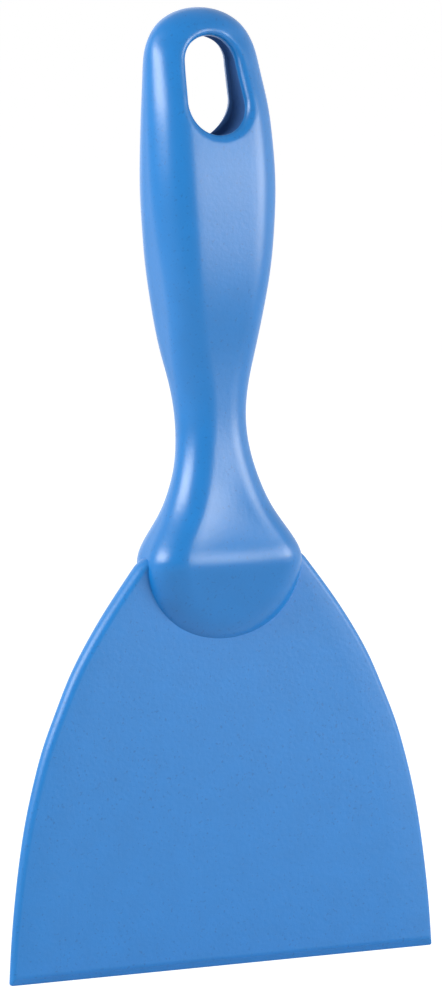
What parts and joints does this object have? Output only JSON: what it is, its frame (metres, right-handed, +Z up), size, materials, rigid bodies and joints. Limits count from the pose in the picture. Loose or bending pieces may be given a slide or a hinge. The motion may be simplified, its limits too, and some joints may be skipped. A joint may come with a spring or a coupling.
{
  "type": "hand scraper",
  "caption": "Blue plastic hand scraper with a flared flat blade, a rounded bolster, a slim neck, a long grip and a hang hole in its rounded end.",
  "frame": {"origin": "middle of the scraping edge, half way through the blade's thickness", "axes": "+X across the blade, +Y from the front face to the back, +Z up from the scraping edge along the handle"},
  "size_m": [0.102, 0.0223, 0.205],
  "materials": {
    "blade": "satin",
    "handle": "satin"
  },
  "bodies": {
    "root": {"blade": "blade", "handle": "handle"}
  },
  "joints": []
}
